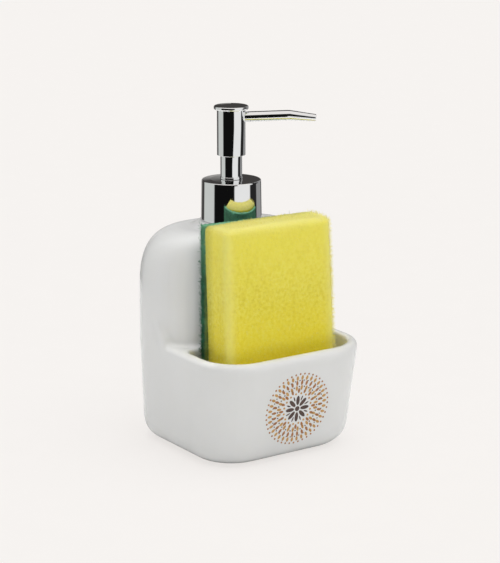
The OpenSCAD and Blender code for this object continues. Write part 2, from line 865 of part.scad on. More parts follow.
module head_shell() {
    color("silver") difference() {
        turned(concat(
            [[head_in_r, head_z + head_t]],
            arc(head_in_r + head_t / 2, head_z + head_t / 2, head_t / 2, -2 * quarter, edge_steps),
            arc(head_in_r + head_t / 2, head_z + head_t / 2, head_t / 2, -quarter, edge_steps),
            [[head_r, head_top_z], [head_in_r, head_top_z]]
        ));
        along_spout() rotate([0, quarter, 0]) cylinder(r = spout_hole_r, h = head_r + over);
    }
}

module head_cap() {
    rim_r = disc_t / 2 - disc_dome_h / 2;
    rim_z = head_top_z + rim_r;
    color("silver") turned(concat(
        [[head_in_r - fit - disc_seat_t, disc_seat_z], [head_in_r - fit, disc_seat_z],
            [head_in_r - fit, head_top_z]],
        arc(disc_r - rim_r, rim_z, rim_r, -quarter, edge_steps),
        arc(disc_r - rim_r, rim_z, rim_r, 0, edge_steps),
        [
            [disc_r * disc_flat_share, head_top_z + disc_t - disc_dome_h * disc_flat_drop_share],
            [0, head_top_z + disc_t],
            [0, head_top_z],
            [head_in_r - fit - disc_seat_t, head_top_z]
        ]
    ));
}

module spout_tube() {
    color("silver") spout_run(spout_stations(spout_start, spout_reach, 0), spout_wall);
}

module spout_liner() {
    color("whitesmoke") spout_run(
        spout_stations(spout_start, spout_reach - liner_back, spout_wall + liner_gap), liner_t
    );
}

// The sponge stands on the tray's floor and leans on the tank: foam in front, pad behind
module leaning() {
    translate([sponge_x, sponge_back_y, sponge_z]) rotate([-sponge_lean, 0, 0])
        translate([0, -sponge_h * sin(sponge_lean), 0]) children();
}

// The foam swells a little between its rounded ends
function foam_outline(g, z) =
    let (belly = foam_swell * sin(z / sponge_h * 2 * quarter))
    outline(
        sponge_w / 2 - g + belly - foam_swell, -pad_t - foam_t + g - belly + foam_swell, -pad_t,
        foam_edge_r, foam_back_edge_r, z
    );

module sponge_foam() {
    ends = [for (i = [0 : foam_top_steps]) i * quarter / foam_top_steps];
    color("gold") leaning() stack(concat(
        [
            for (t = ends)
                foam_outline(foam_top_r * (1 - sin(t)), foam_top_r * (1 - cos(t)))
        ],
        [
            for (i = [1 : foam_belly_steps - 1])
                foam_outline(0, foam_top_r + (sponge_h - 2 * foam_top_r) * i / foam_belly_steps)
        ],
        [
            for (t = ends)
                foam_outline(foam_top_r * (1 - cos(t)), sponge_h - foam_top_r * (1 - sin(t)))
        ]
    ));
}

module scouring_pad() {
    hw = sponge_w / 2 - pad_edge_r;
    pad_h = sponge_h - pad_low;
    color("darkgreen") leaning() rotate([quarter, 0, 0]) linear_extrude(pad_t) union() {
        translate([-hw, 0]) square([2 * hw, pad_h]);
        translate([-sponge_w / 2, pad_edge_r]) square([sponge_w, pad_h - 2 * pad_edge_r]);
        for (x = [-hw, hw], z = [pad_edge_r, pad_h - pad_edge_r])
            translate([x, z]) circle(r = pad_edge_r);
    }
}

ceramic_body();
neck_insert();
neck_gasket();
screw_cap();
collar_shroud();
chaplet();
guide_sleeve();
pump_housing();
piston();
piston_rod();
stem();
return_spring();
inlet_ball();
dip_tube();
head_core();
head_shell();
head_cap();
spout_tube();
spout_liner();
sponge_foam();
scouring_pad();
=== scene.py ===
# %% [markdown]
# A soap pump caddy: a glazed tank with a lotion pump at the back, and a tray in front that holds a
# scouring sponge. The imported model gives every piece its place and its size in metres. This lesson
# gives each piece its look, one step after another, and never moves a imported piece.

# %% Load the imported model
import json
import math
import random

import bmesh
import bpy
import numpy as np
from mathutils import Matrix, Vector, noise
from mathutils.bvhtree import BVHTree


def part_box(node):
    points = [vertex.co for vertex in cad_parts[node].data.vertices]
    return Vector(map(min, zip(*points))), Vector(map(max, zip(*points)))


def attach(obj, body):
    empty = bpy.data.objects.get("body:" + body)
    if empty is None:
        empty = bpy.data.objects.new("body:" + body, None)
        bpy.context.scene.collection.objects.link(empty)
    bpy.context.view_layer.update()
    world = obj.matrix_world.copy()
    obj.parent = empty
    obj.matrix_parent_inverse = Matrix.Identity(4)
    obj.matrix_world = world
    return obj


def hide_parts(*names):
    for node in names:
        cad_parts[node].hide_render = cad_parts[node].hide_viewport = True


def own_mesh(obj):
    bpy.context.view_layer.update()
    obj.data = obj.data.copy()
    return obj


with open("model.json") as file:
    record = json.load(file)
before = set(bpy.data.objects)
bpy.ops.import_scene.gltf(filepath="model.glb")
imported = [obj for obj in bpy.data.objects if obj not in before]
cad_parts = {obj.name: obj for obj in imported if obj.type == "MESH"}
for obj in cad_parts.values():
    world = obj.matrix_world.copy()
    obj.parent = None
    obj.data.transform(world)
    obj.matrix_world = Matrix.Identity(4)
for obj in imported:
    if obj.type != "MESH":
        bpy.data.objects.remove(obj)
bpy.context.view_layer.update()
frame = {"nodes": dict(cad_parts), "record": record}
cad = frame["nodes"]
mm = 0.001
print("packed pieces:", len(cad))

# %% [markdown]
# The camera comes first, because light and reflections are judged through it. A long lens stands
# about a metre away, to the left of the front and a little above, as for a catalogue picture.

# %% Place the camera
scene = bpy.context.scene
camera_data = bpy.data.cameras.new("catalogue_camera")
camera = bpy.data.objects.new("catalogue_camera", camera_data)
scene.collection.objects.link(camera)
scene.camera = camera
camera_place = Vector((-0.5936, -0.8689, 0.3594))
camera_target = Vector((-0.00436, -0.00829, 0.09623))
camera.location = camera_place
camera.rotation_euler = (camera_target - camera_place).to_track_quat("-Z", "Y").to_euler()
camera_data.sensor_fit = "AUTO"
camera_data.sensor_width = 36
camera_data.lens = 121.65
camera_data.clip_start = 0.02
camera_data.clip_end = 60
camera_data.dof.use_dof = False
print("camera distance:", round((camera_target - camera_place).length, 4))

# %% [markdown]
# Every finish below is a node tree. Wiring each node by hand would bury the idea of a finish under
# its cables, so small helpers add one kind of node each and hand back the output to go on with.
# A node or socket knows its own tree, so the helpers only need what is wired. All patterns read
# Object coordinates, so they stay on their piece when it moves.

# %% Helpers for finishes
def start_finish(name, colour, roughness, metallic=0.0):
    finish = bpy.data.materials.new(name)
    finish.use_nodes = True
    shader = finish.node_tree.nodes["Principled BSDF"]
    shader.inputs["Base Color"].default_value = (*colour, 1)
    shader.inputs["Roughness"].default_value = roughness
    shader.inputs["Metallic"].default_value = metallic
    return finish, shader


def add_node(near, kind, inputs=None, **settings):
    added = near.id_data.nodes.new(kind)
    for key, value in settings.items():
        setattr(added, key, value)
    for key, value in (inputs or {}).items():
        added.inputs[key].default_value = value
    return added


def wire(source, target):
    source.id_data.links.new(source, target)


def choose_shader(share, one, two):
    choice = add_node(share, "ShaderNodeMixShader")
    for socket, source in zip(choice.inputs, (share, one, two)):
        wire(source, socket)
    return choice.outputs[0]


def start_glow(name):
    finish, shader = start_finish(name, (0, 0, 0), 1.0)
    finish.node_tree.nodes.remove(shader)
    glow = add_node(finish.node_tree, "ShaderNodeEmission", {"Strength": 1.0})
    wire(glow.outputs[0], finish.node_tree.nodes["Material Output"].inputs["Surface"])
    return finish, glow


def object_coords(near):
    return add_node(near, "ShaderNodeTexCoord").outputs["Object"]


def parts_of(vector):
    split = add_node(vector, "ShaderNodeSeparateXYZ")
    wire(vector, split.inputs["Vector"])
    return split.outputs


def reckon(operation, *terms):
    step = add_node(terms[0], "ShaderNodeMath", operation=operation)
    for socket, term in zip(step.inputs, terms):
        if isinstance(term, (int, float)):
            socket.default_value = term
        else:
            wire(term, socket)
    return step.outputs[0]


def fade(value, start, end, low=0.0, high=1.0):
    limits = {"From Min": start, "From Max": end, "To Min": low, "To Max": high}
    spread = add_node(value, "ShaderNodeMapRange", limits)
    wire(value, spread.inputs["Value"])
    return spread.outputs["Result"]


def cloud(coords, scale, detail, roughness=0.5):
    values = {"Scale": scale, "Detail": detail, "Roughness": roughness}
    puffs = add_node(coords, "ShaderNodeTexNoise", values)
    wire(coords, puffs.inputs["Vector"])
    return puffs.outputs["Fac"]


def shared(one, two, share):
    rest = reckon("MULTIPLY", two, 1 - share)
    return reckon("MULTIPLY_ADD", one, share, rest)


def tone_ramp(value, stops):
    node = add_node(value, "ShaderNodeValToRGB")
    ramp = node.color_ramp
    while len(ramp.elements) > 1:
        ramp.elements.remove(ramp.elements[-1])
    ramp.elements[0].position = stops[0][0]
    ramp.elements[0].color = (*stops[0][1], 1)
    for place, colour in stops[1:]:
        ramp.elements.new(place).color = (*colour, 1)
    wire(value, node.inputs["Fac"])
    return node.outputs["Color"]


def toward(base, colour, share):
    blend = add_node(base, "ShaderNodeMix", {"B": (*colour, 1)}, data_type="RGBA")
    wire(share, blend.inputs["Factor"])
    wire(base, blend.inputs["A"])
    return blend.outputs["Result"]


def mottled(coords, low, high, scale):
    return tone_ramp(cloud(coords, scale, 3.0), [(0.35, low), (0.65, high)])


def mottle(shader, low, high, scale):
    coords = object_coords(shader)
    wire(mottled(coords, low, high, scale), shader.inputs["Base Color"])
    return coords


def roughen(shader, coords, scale, low, high):
    patches = cloud(coords, scale, 2.0)
    wire(fade(patches, 0.0, 1.0, low, high), shader.inputs["Roughness"])


def raise_by(shader, source, height, strength):
    bump = add_node(shader, "ShaderNodeBump", {"Strength": strength, "Distance": height})
    wire(source, bump.inputs["Height"])
    wire(bump.outputs["Normal"], shader.inputs["Normal"])


def relief(shader, coords, scale, height, strength):
    raise_by(shader, cloud(coords, scale, 2.0), height, strength)


def let_light_in(shader, weight, radius, depth):
    shader.inputs["Subsurface Weight"].default_value = weight
    shader.inputs["Subsurface Radius"].default_value = radius
    shader.inputs["Subsurface Scale"].default_value = depth


# %% [markdown]
# Every new piece is shaped as a bmesh, Blender's editable mesh. Small helpers pick the new parts
# out of a step's result, turn the faces outwards and smooth all but flat end caps, bake the bmesh
# into a mesh, and put that mesh into the scene as a piece.

# %% Helpers for pieces
def mesh_from(bm, name):
    mesh = bpy.data.meshes.new(name)
    bm.to_mesh(mesh)
    bm.free()
    return mesh


def piece_from(bm, name, *finishes):
    mesh = mesh_from(bm, name)
    for finish in finishes:
        mesh.materials.append(finish)
    piece = bpy.data.objects.new(name, mesh)
    scene.collection.objects.link(piece)
    return piece


def new_parts(made, kind):
    return [part for part in made["geom"] if isinstance(part, kind)]


def smooth_outwards(bm):
    bmesh.ops.recalc_face_normals(bm, faces=bm.faces)
    for face in bm.faces:
        face.smooth = len(face.verts) <= 4


# %% [markdown]
# The stage is a pale paper sweep. What the camera and mirror finishes see of the world is the
# paper's colour, while the light that falls on the object from the world is kept lower, so that
# a colour renders about as it is written.

# %% World light
paper = (0.913, 0.880, 0.855)
world = bpy.data.worlds.new("paper_world")
scene.world = world
world.use_nodes = True
tree = world.node_tree
tree.nodes.clear()
world_out = add_node(tree, "ShaderNodeOutputWorld")
seen = add_node(tree, "ShaderNodeBackground", {"Color": (*paper, 1)})
cast = add_node(tree, "ShaderNodeBackground", {"Color": (1.0, 0.998, 0.992, 1), "Strength": 0.325})
rays = add_node(tree, "ShaderNodeLightPath").outputs
direct = reckon("MAXIMUM", rays["Is Camera Ray"], rays["Is Glossy Ray"])
direct = reckon("MAXIMUM", direct, rays["Is Transmission Ray"])
wire(choose_shader(direct, cast.outputs[0], seen.outputs[0]), world_out.inputs["Surface"])
scene.view_settings.view_transform = "Standard"
print("world strength on the object:", round(cast.inputs["Strength"].default_value, 3))


# %% [markdown]
# Three wide lamps shape the body: a strong one above, and two weak ones, in front and at the left,
# so the corner between them stays the darkest. A sun lamp with a wide angle is the simplest soft
# box, because its distance doesn't matter. Mirror finishes don't see the lamps: cards give them
# their stripes further on.

# %% Lamps
def hang_lamp(name, toward_lamp, share, spread):
    lamp = bpy.data.lights.new(name, "SUN")
    lamp.energy = share * math.pi
    lamp.angle = math.radians(spread)
    lamp.color = (1.0, 0.998, 0.99)
    hung = bpy.data.objects.new(name, lamp)
    scene.collection.objects.link(hung)
    hung.rotation_euler = Vector(toward_lamp).to_track_quat("Z", "Y").to_euler()
    hung.visible_glossy = False


hang_lamp("lamp_above", (0.05, -0.12, 1.0), 0.79, 80)
hang_lamp("lamp_front", (0.25, -0.93, 0.30), 0.008, 50)
hang_lamp("lamp_left", (-0.85, 0.45, 0.30), 0.010, 50)

# %% [markdown]
# The paper lies a fifth of a millimetre below the foot ring. To the camera it is mostly an even
# glow in the paper's colour, so that no horizon shows. The rest is matt paper, which keeps the
# shadow and sends a neutral light back up to the body.

# %% Paper floor
glow_share = 0.80
floor_finish, shader = start_finish("paper_sweep", paper, 0.9)
shader.inputs["Specular IOR Level"].default_value = 0.0
mottle(shader, (0.862, 0.860, 0.852), (0.878, 0.876, 0.868), 40)
glow = add_node(shader, "ShaderNodeEmission", {"Color": (*paper, 1), "Strength": 1.0})
floor_rays = add_node(shader, "ShaderNodeLightPath").outputs
glowing = reckon("MULTIPLY", floor_rays["Is Camera Ray"], glow_share)
floor_out = floor_finish.node_tree.nodes["Material Output"]
wire(choose_shader(glowing, shader.outputs[0], glow.outputs[0]), floor_out.inputs["Surface"])
bm = bmesh.new()
bmesh.ops.create_grid(bm, x_segments=8, y_segments=8, size=6.0)
bmesh.ops.translate(bm, verts=bm.verts, vec=(0, 0, -0.0002))
floor = piece_from(bm, "paper_floor", floor_finish)
print("floor faces:", len(floor.data.polygons))

# %% [markdown]
# Chrome has no colour of its own: it shows the studio. On the real pump, tall soft boxes and
# black cards stand around the table and give it upright stripes. One ring of card round the
# object does the same here. Only mirror rays see it, and its stripes are set by a ramp that
# runs once round, counted from the camera's side.

# %% Stripes of the soft boxes and black cards
pump_axis = Vector((0.0, 0.017, 0.0))
toward_camera = camera_place - pump_axis
camera_turn = math.atan2(toward_camera.y, toward_camera.x)


def turn_place(degrees):
    return 0.5 + degrees / 360


dark = (0.0055, 0.0055, 0.0055)
near_dark = (0.02, 0.02, 0.02)
soft = (0.86, 0.86, 0.855)
grey_white = (0.60, 0.62, 0.60)
grey = (0.30, 0.30, 0.30)
back = (0.055, 0.052, 0.05)
stripes = [
    (-180, back), (-127, back), (-121, grey_white), (-69, grey_white), (-65, dark),
    (10, dark), (14, soft), (73, soft), (77, near_dark), (108, near_dark),
    (112, grey), (148, grey), (154, back), (180, back),
]
print("stripes round the object:", len(stripes))

# %% [markdown]
# Two corrections follow the real studio. The stripes on the right lean a little with height, and
# behind the object the lower part of the ring is lighter, as the table's far edge is. Both are
# faded in by the height on the ring.

# %% Finish of the ring
ring_finish, ring_glow = start_glow("soft_boxes_and_cards")
coords = object_coords(ring_glow)
ring_map = add_node(
    ring_glow, "ShaderNodeMapping", {"Location": pump_axis, "Rotation": (0, 0, camera_turn)},
    vector_type="TEXTURE",
)
ring_gradient = add_node(ring_glow, "ShaderNodeTexGradient", gradient_type="RADIAL")
wire(coords, ring_map.inputs["Vector"])
wire(ring_map.outputs["Vector"], ring_gradient.inputs["Vector"])
turn = ring_gradient.outputs["Fac"]
height = parts_of(coords)["Z"]
lean = fade(height, 0.085, 0.115, 0.0, -0.034)
right_half = reckon("GREATER_THAN", turn, turn_place(-30))
leaned = reckon("MULTIPLY_ADD", lean, right_half, turn)
stripe_tones = [(turn_place(degrees), colour) for degrees, colour in stripes]
striped = tone_ramp(leaned, stripe_tones)
low_part = fade(height, 0.205, 0.245, 1.0, 0.0)
back_part = reckon("LESS_THAN", turn, turn_place(-150))
back_share = reckon("MULTIPLY", low_part, back_part)
ring_colour = toward(striped, (0.36, 0.35, 0.34), back_share)
wire(ring_colour, ring_glow.inputs["Color"])
print("nodes in the ring's finish:", len(ring_finish.node_tree.nodes))

# %% Ring of card
ring_radius = 0.40
ring_height = 0.50


def show_to_mirrors_only(card):
    for ray in ("camera", "diffuse", "shadow", "transmission", "volume_scatter"):
        setattr(card, "visible_" + ray, False)


bm = bmesh.new()
bmesh.ops.create_circle(bm, segments=96, radius=ring_radius)
bmesh.ops.translate(bm, verts=bm.verts, vec=pump_axis + Vector((0, 0, 0.001)))
made = bmesh.ops.extrude_edge_only(bm, edges=bm.edges[:])
top = new_parts(made, bmesh.types.BMVert)
bmesh.ops.translate(bm, verts=top, vec=(0, 0, ring_height))
ring = piece_from(bm, "card_ring", ring_finish)
show_to_mirrors_only(ring)
print("ring faces:", len(ring.data.polygons))

# %% [markdown]
# The spout is a level tube, so it shows what lies below and above it too. A black card on the
# table carries the black stripe down, and a dark card overhead, behind the object, draws the
# thin dark line along the spout's top. Only mirror rays see them.

# %% Flat cards for the spout
def flat_card(name, near, far, left, right, card_height, tone):
    finish, glow = start_glow(name)
    glow.inputs["Color"].default_value = (*tone, 1)
    middle = ((near + far) / 2, -(left + right) / 2, card_height)
    bm = bmesh.new()
    bmesh.ops.create_grid(bm, x_segments=1, y_segments=1, size=0.5)
    bmesh.ops.scale(bm, verts=bm.verts, vec=(far - near, right - left, 1))
    bmesh.ops.translate(bm, verts=bm.verts, vec=middle)
    to_camera = Matrix.Rotation(camera_turn, 3, "Z")
    bmesh.ops.rotate(bm, verts=bm.verts, cent=(0, 0, 0), matrix=to_camera)
    bmesh.ops.translate(bm, verts=bm.verts, vec=pump_axis)
    card = piece_from(bm, name, finish)
    show_to_mirrors_only(card)
    print(name, "at height", card_height)


flat_card("black_card_on_table", 0.30, 0.41, -0.10, 0.085, 0.0012, dark)
flat_card("dark_card_overhead", -0.40, -0.17, -0.30, 0.30, ring_height, (0.05, 0.05, 0.05))

# %% [markdown]
# The tank and tray are one slip-cast ceramic body. Slip casting leaves no sharp edge and no
# facet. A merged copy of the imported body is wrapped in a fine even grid, and the grid is then
# relaxed with one step in and one step out each time, which smooths facets without shrinking
# the rim. It stays hollow, with its soap space, neck hole and foot ring.

# %% Helpers to wrap and relax
def merged_copy(name, node):
    bm = bmesh.new()
    bm.from_mesh(cad[node].data)
    bmesh.ops.remove_doubles(bm, verts=bm.verts, dist=1e-6)
    return piece_from(bm, name)


def wrap_in_grid(piece, step):
    grid = piece.modifiers.new("grid", "REMESH")
    grid.mode = "VOXEL"
    grid.voxel_size = step
    grid.use_smooth_shade = True
    ready = piece.evaluated_get(bpy.context.evaluated_depsgraph_get())
    mesh = bpy.data.meshes.new_from_object(ready)
    piece.modifiers.clear()
    old = piece.data
    piece.data = mesh
    mesh.name = piece.name
    bpy.data.meshes.remove(old)


def read_points(mesh, what):
    flat = np.empty(len(mesh.vertices) * 3)
    mesh.vertices.foreach_get(what, flat)
    return flat.reshape(-1, 3)


def set_points(mesh, points):
    mesh.vertices.foreach_set("co", np.ascontiguousarray(points).ravel())
    mesh.update()


def keep_on_mesh(piece, name, values):
    layer = piece.data.attributes.new(name, "FLOAT", "POINT")
    layer.data.foreach_set("value", values)


def relax(mesh, rounds, inward=0.5, outward=0.53):
    points = read_points(mesh, "co")
    pairs = np.empty(len(mesh.edges) * 2, dtype=np.int64)
    mesh.edges.foreach_get("vertices", pairs)
    one, two = pairs.reshape(-1, 2).T
    count = np.bincount(pairs, minlength=len(points))[:, None]
    for step in [inward, -outward] * rounds:
        total = np.empty_like(points)
        for side in range(3):
            total[:, side] = np.bincount(one, points[two, side], len(points))
            total[:, side] += np.bincount(two, points[one, side], len(points))
        points += step * (total / count - points)
    set_points(mesh, points)


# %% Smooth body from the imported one
body_grid = 1.2 * mm
foot_height = 0.2 * mm
body = merged_copy("glazed_body", "ceramic_body")
wrap_in_grid(body, body_grid)
relax(body.data, 40)
body_points = read_points(body.data, "co")
foot = body_points[:, 2] < foot_height
body_points[foot, 2] = 0.0
set_points(body.data, body_points)
print("body faces:", len(body.data.polygons), "foot points on the table:", int(foot.sum()))

# %% [markdown]
# The glaze is a hard clear coat over white clay, milk white and even. Light and shade are painted
# into its colour: the inside of the tray and the up-facing left of the rim are painted whiter, as
# painted light where they stay shaded, and the up-facing top of the front rim is painted darker, as
# painted shade that dims its highlight. Where each goes follows from a point's place and from the way
# it faces. It is kept on the mesh as an attribute, which a material can read: 0 painted shade,
# 0.5 plain, 1 painted light.

# %% Painted light and shade on the glaze
body_normals = read_points(body.data, "normal")
x, y, z = body_points.T
upward = body_normals[:, 2]
near_rim = (z > 0.05) * (z < 0.09)
front_rim = np.clip((-0.036 - y) / 0.006, 0, 1) * (z > 0.05)
# Painted shade: the up-facing top of the front rim is painted darker, which dims its highlight.
painted_shade = np.clip((upward - 0.35) / 0.4, 0, 1) * front_rim
tray_middle = np.array([0.0, -0.026, 0.055])
faces_tray = ((tray_middle - body_points) * body_normals).sum(axis=1) > 0
# Painted light: the inside of the tray is painted whiter where it stays shaded.
in_tray = faces_tray * (z > 0.033) * (z < 0.09) * (y < -0.006) * 1.0
# Painted light: the up-facing left of the rim is painted whiter.
left_rim = np.clip((upward - 0.3) / 0.3, 0, 1) * near_rim * (x < -0.03)
left_rim = left_rim * np.clip((0.012 - y) / 0.006, 0, 1)
painted_light = np.maximum(in_tray, 0.8 * left_rim) * (1 - painted_shade)
keep_on_mesh(body, "painted_glaze_light_shade", 0.5 + 0.5 * painted_light - 0.5 * painted_shade)
print("points with deep glaze:", int((painted_light > 0.5).sum()), "with thin glaze:", int((painted_shade > 0.5).sum()))

# %% [markdown]
# The gloss is even, with a very slight orange peel, and the light enters the glaze a little way.
# The foot ring is wiped before firing, so the lowest half millimetre is bare matt clay. Both come
# from one material with a fade by height, so no seam shows between them.

# %% Glaze
glaze, shader = start_finish("milk_white_glaze", (0.815, 0.815, 0.81), 0.16)
coords = object_coords(shader)
milk = mottled(coords, (0.919, 0.920, 0.913), (0.942, 0.943, 0.938), 22)
# The attribute carries the painted light and shade, and its tone multiplies the milk white.
depth = add_node(shader, "ShaderNodeAttribute", attribute_name="painted_glaze_light_shade").outputs["Fac"]
painted_light_tones = [(0.0, (0.81, 0.81, 0.81)), (0.5, (0.864, 0.864, 0.864)), (1.0, (1.0, 1.0, 1.0))]
painted_milk = add_node(shader, "ShaderNodeMix", {"Factor": 1.0}, data_type="RGBA", blend_type="MULTIPLY")
wire(milk, painted_milk.inputs["A"])
wire(tone_ramp(depth, painted_light_tones), painted_milk.inputs["B"])
bare = fade(parts_of(coords)["Z"], 0.0003, 0.0007, 1.0, 0.0)
glazed = toward(painted_milk.outputs["Result"], (0.70, 0.66, 0.60), bare)
wire(glazed, shader.inputs["Base Color"])
gloss = fade(cloud(coords, 90.0, 2.0), 0.0, 1.0, 0.13, 0.22)
gloss_or_clay = add_node(shader, "ShaderNodeMix", {"B": 0.85}, data_type="FLOAT")
wire(bare, gloss_or_clay.inputs["Factor"])
wire(gloss, gloss_or_clay.inputs["A"])
wire(gloss_or_clay.outputs["Result"], shader.inputs["Roughness"])
relief(shader, coords, 120, 0.00006, 0.5)
let_light_in(shader, 0.08, (1.0, 0.9, 0.75), 0.002)
body.data.materials.append(glaze)
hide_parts("ceramic_body")
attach(body, "root")
print("nodes in the glaze:", len(glaze.node_tree.nodes))

# %% [markdown]
# The front of the tray carries a fired transfer print. Here it is a plain rosette: rings of
# small lozenges, petals and dots in ochre, orange and dark brown. Each motif starts as a small
# circle with a few corners, is stretched and turned, and is laid on the curved face along
# straight rays. A thin layer of print stands a few hundredths of a millimetre proud of the glaze.

# %% Helpers for the rosette
body_tree = BVHTree.FromObject(body, bpy.context.evaluated_depsgraph_get())
rosette_centre = Vector((0.0, 0.0, 0.0308))
print_proud = 0.06 * mm
print_thickness = 0.14 * mm


def motif(bm, corners, along, across, radius, turn):
    made = bmesh.ops.create_circle(bm, cap_ends=True, segments=corners, radius=0.5)
    place = Matrix.Translation(rosette_centre) @ Matrix.Rotation(turn, 4, "Y")
    place = place @ Matrix.Translation((radius, 0, 0)) @ Matrix.Rotation(math.pi / 2, 4, "X")
    place = place @ Matrix.Diagonal((along, across, 1, 1))
    bmesh.ops.transform(bm, matrix=place, verts=made["verts"])


def motif_ring(bm, count, corners, along, across, radius, offset):
    for i in range(count):
        turn = (i + offset) * 2 * math.pi / count
        motif(bm, corners, along * mm, across * mm, radius * mm, turn)


def print_layer(name, rings, finish):
    bm = bmesh.new()
    for values in rings:
        motif_ring(bm, *values)
    for vert in bm.verts:
        start = vert.co + Vector((0, -0.2, 0))
        hit, normal = body_tree.ray_cast(start, Vector((0, 1, 0)))[:2]
        vert.co = hit + normal * print_proud
    bmesh.ops.recalc_face_normals(bm, faces=bm.faces)
    for face in bm.faces:
        if face.normal.y > 0:
            face.normal_flip()
    layer = piece_from(bm, name, finish)
    thick = layer.modifiers.new("print_thickness", "SOLIDIFY")
    thick.thickness = print_thickness
    thick.offset = -1
    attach(layer, "root")
    print(name, "faces:", len(layer.data.polygons))


def print_finish(name, low, high):
    finish, shader = start_finish(name, low, 0.3)
    coords = mottle(shader, low, high, 300)
    roughen(shader, coords, 200, 0.24, 0.36)
    return finish


# %% [markdown]
# A transfer is printed colour by colour, so each colour is one layer with its own finish. A ring
# is given by its count, the corners of its motif, the motif's length and width, the ring's
# radius, all in millimetres, and a share of one step by which it is turned.

# %% Lay the rosette on the front
ochre = print_finish("fired_ochre", (0.50, 0.26, 0.06), (0.60, 0.34, 0.10))
orange = print_finish("fired_orange", (0.34, 0.13, 0.03), (0.42, 0.17, 0.04))
brown = print_finish("fired_brown", (0.055, 0.026, 0.018), (0.085, 0.042, 0.03))
print_layer("rosette_ochre", [
    (16, 8, 1.3, 1.3, 9.2, 0.5),
    (24, 6, 3.2, 1.7, 12.7, 0.5),
    (36, 6, 3.0, 1.7, 18.6, 0.5),
], ochre)
print_layer("rosette_orange", [
    (16, 6, 3.2, 1.6, 11.0, 0.0),
    (30, 6, 3.2, 1.6, 15.7, 0.0),
    (44, 8, 1.2, 1.2, 20.9, 0.0),
], orange)
print_layer("rosette_brown", [
    (1, 16, 3.0, 3.0, 0.0, 0.0),
    (8, 12, 5.8, 2.3, 5.0, 0.0),
    (8, 6, 3.2, 0.9, 6.6, 0.5),
    (24, 8, 0.9, 0.9, 13.4, 0.0),
    (36, 8, 0.8, 0.8, 17.0, 0.0),
], brown)

# %% [markdown]
# The bright parts of the pump are thin pressed or turned shells: the shroud over the screw cap,
# the guide that the head slides on, the head's sleeve and its press disc. Each is a shape of
# revolution, so its outline is drawn once, its corners are rounded, and it is spun about the
# pump's axis. A mirror finish shows every flaw in the shading, so each round corner gets a
# support point just before and after it, which keeps the flats flat.

# %% Rounded outlines, spun
def rounded_outline(corners, steps=6, support=0.08 * mm):
    points = []
    count = len(corners)
    for i, (r, z, round_r) in enumerate(corners):
        here = Vector((r, z))
        before = Vector(corners[i - 1][:2]) - here
        after = Vector(corners[(i + 1) % count][:2]) - here
        if round_r <= 0:
            points.append(here)
            continue
        reach = round_r / math.tan(before.angle(after) / 2)
        reach = min(reach, 0.46 * before.length, 0.46 * after.length)
        start = here + before.normalized() * reach
        end = here + after.normalized() * reach
        points.append(start + before.normalized() * min(support, 0.03 * before.length))
        for k in range(steps + 1):
            t = k / steps
            points.append(start * (1 - t) ** 2 + here * 2 * t * (1 - t) + end * t ** 2)
        points.append(end + after.normalized() * min(support, 0.03 * after.length))
    return points


def frame_body(node):
    bodies = frame["record"]["behaviour"]["bodies"]
    return next(body for body, nodes in bodies.items() if node in nodes)


def spun_shell(name, corners, finish, node, steps_round=128):
    bm = bmesh.new()
    outline = [bm.verts.new((p.x, pump_axis.y, p.y)) for p in rounded_outline(corners)]
    edges = [bm.edges.new((outline[i - 1], outline[i])) for i in range(len(outline))]
    bmesh.ops.spin(
        bm, geom=outline + edges, cent=pump_axis, axis=(0, 0, 1), angle=2 * math.pi,
        steps=steps_round, use_merge=True,
    )
    bmesh.ops.remove_doubles(bm, verts=bm.verts, dist=2e-6)
    smooth_outwards(bm)
    piece = piece_from(bm, name, finish)
    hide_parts(node)
    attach(piece, frame_body(node))
    print(name, "faces:", len(piece.data.polygons))


# %% [markdown]
# Polished chrome is a metal with almost no roughness. A trace of mottle, of uneven polish and of
# relief keeps it from looking like a perfect computer mirror.

# %% Mirror chrome
chrome, shader = start_finish("mirror_chrome", (0.87, 0.875, 0.88), 0.035, 1.0)
coords = mottle(shader, (0.86, 0.865, 0.87), (0.885, 0.89, 0.895), 60)
roughen(shader, coords, 260, 0.015, 0.04)
relief(shader, coords, 500, 0.000004, 0.3)
print("nodes in the chrome:", len(chrome.node_tree.nodes))

# %% [markdown]
# Each outline is a list of corners: radius, height and rounding. The main radii and heights are
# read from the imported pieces, so the bright shells always fit the pump, and what is written here
# are only wall thicknesses and small steps.

# %% Shroud and guide
shroud_lo, shroud_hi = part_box("collar_shroud")
guide_lo, guide_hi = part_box("guide_sleeve")
shroud_r = (shroud_hi.x - shroud_lo.x) / 2
shroud_top_r = shroud_r - 0.4 * mm
hole_r = 5.7 * mm
spun_shell("chrome_shroud", [
    (shroud_r - 0.6 * mm, shroud_lo.z, 0.15 * mm),
    (shroud_r, shroud_lo.z, 0.15 * mm),
    (shroud_top_r, shroud_hi.z - 0.35 * mm, 0.9 * mm),
    (shroud_top_r * 0.7, shroud_hi.z - 0.1 * mm, 3.0 * mm),
    (hole_r, shroud_hi.z, 0.1 * mm),
    (hole_r, shroud_hi.z - 0.6 * mm, 0.1 * mm),
    (shroud_top_r - 0.6 * mm, shroud_hi.z - 1.0 * mm, 0.4 * mm),
], chrome, "collar_shroud")
guide_ring_r = (guide_hi.x - guide_lo.x) / 2
guide_r = guide_ring_r - 0.3 * mm
guide_in = 5.55 * mm
guide_lip = guide_in - 1.0 * mm
spun_shell("chrome_guide", [
    (guide_in, guide_lo.z, 0.08 * mm),
    (guide_ring_r, guide_lo.z, 0.25 * mm),
    (guide_ring_r, guide_lo.z + 1.2 * mm, 0.4 * mm),
    (guide_r, guide_lo.z + 1.3 * mm, 0.1 * mm),
    (guide_r, guide_hi.z, 0.5 * mm),
    (guide_lip, guide_hi.z, 0.08 * mm),
    (guide_lip, guide_hi.z - 0.5 * mm, 0.08 * mm),
    (guide_in, guide_hi.z - 0.5 * mm, 0.08 * mm),
], chrome, "guide_sleeve")

